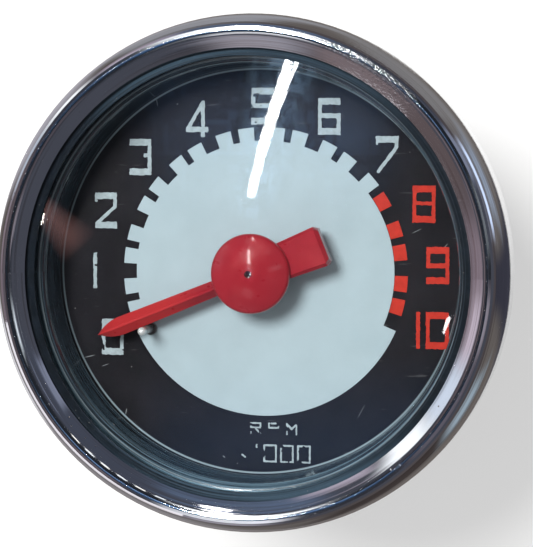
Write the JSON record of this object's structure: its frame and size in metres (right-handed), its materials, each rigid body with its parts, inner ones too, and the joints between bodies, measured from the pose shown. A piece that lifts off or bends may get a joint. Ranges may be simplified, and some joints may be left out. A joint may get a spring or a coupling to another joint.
{
  "type": "motorcycle tachometer",
  "caption": "Round mechanical tachometer with a chromed bezel, toothed white dial, red pointer on a stop pin, and a rear threaded neck and studs for a flexible drive cable.",
  "frame": {"origin": "on the pointer's axis, in the plane of the bezel's rear edge, where the instrument seats on its panel", "axes": "+Z out of the glass along the pointer's axis, +Y to the top of the dial, +X to the reader's right"},
  "size_m": [0.065, 0.065, 0.0601],
  "materials": {
    "chromed_bezel": "polished, lightly worn",
    "gasket_rubber": "dull",
    "lens_glass": "clear, fine scratches",
    "black_spacer": "semi-gloss black, worn at the bends",
    "dial_black": "matt black",
    "dial_white": "matt white print",
    "dial_red": "matt red print",
    "pointer_red": "glossy",
    "bright_steel": "ground",
    "turned_brass": "turned",
    "cup_aluminium": "drawn, satin",
    "spring_bronze": "polished strip",
    "plated_steel": "zinc plated",
    "cast_zinc": "die cast",
    "soft_iron": "phosphated",
    "magnet_grey": "as cast",
    "compensator_alloy": "rolled",
    "jewel_red": "polished",
    "sintered_bronze": "oiled",
    "felt_brown": "oiled felt",
    "spring_steel": "blued",
    "case_paint": "semi-gloss black enamel"
  },
  "bodies": {
    "case": {"bezel": "chromed_bezel", "lens_gasket": "gasket_rubber", "lens": "lens_glass", "spacer_ring": "black_spacer", "dial": "dial_black", "white_field": "dial_white", "red_teeth": "dial_red", "stop_pin": "bright_steel", "upper_bearing": "turned_brass", "upper_bridge": "plated_steel", "bridge_screws": "plated_steel", "movement_frame": "cast_zinc", "field_ring": "soft_iron", "drive_bush": "sintered_bronze", "oil_felt": "felt_brown", "thrust_washer": "sintered_bronze", "neck_seal": "gasket_rubber", "frame_screws": "plated_steel", "screw_washers": "spring_steel", "mounting_studs": "plated_steel", "case_shell": "case_paint"},
    "pointer_group": {"pointer": "pointer_red", "pointer_bush": "turned_brass", "pointer_staff": "bright_steel", "cup_hub": "turned_brass", "drag_cup": "cup_aluminium", "hairspring_collet": "turned_brass"},
    "drive_group": {"drive_spindle": "bright_steel", "magnet_carrier": "turned_brass", "magnet": "magnet_grey", "compensator_disc": "compensator_alloy", "pivot_jewel": "jewel_red", "retaining_clip": "spring_steel"},
    "regulator_group": {"regulator_arm": "plated_steel", "hairspring_stud": "turned_brass", "hairspring": "spring_bronze"}
  },
  "joints": [
    {"name": "pointer_sweep", "type": "hinge", "parent": "case", "child": "pointer_group", "pos_m": [0, 0, 0], "axis": [0, 0, 1], "range_deg": [-225, 0], "stiffness_Nm_per_rad": 0.00002, "springref_deg": 5.73, "deforming": ["hairspring"]},
    {"name": "drive_spin", "type": "hinge", "parent": "case", "child": "drive_group", "pos_m": [0, 0, -0.035], "axis": [0, 0, 1], "continuous": true},
    {"name": "zero_adjust", "type": "hinge", "parent": "case", "child": "regulator_group", "pos_m": [0, 0, -0.011], "axis": [0, 0, 1], "range_deg": [-10, 10]}
  ]
}
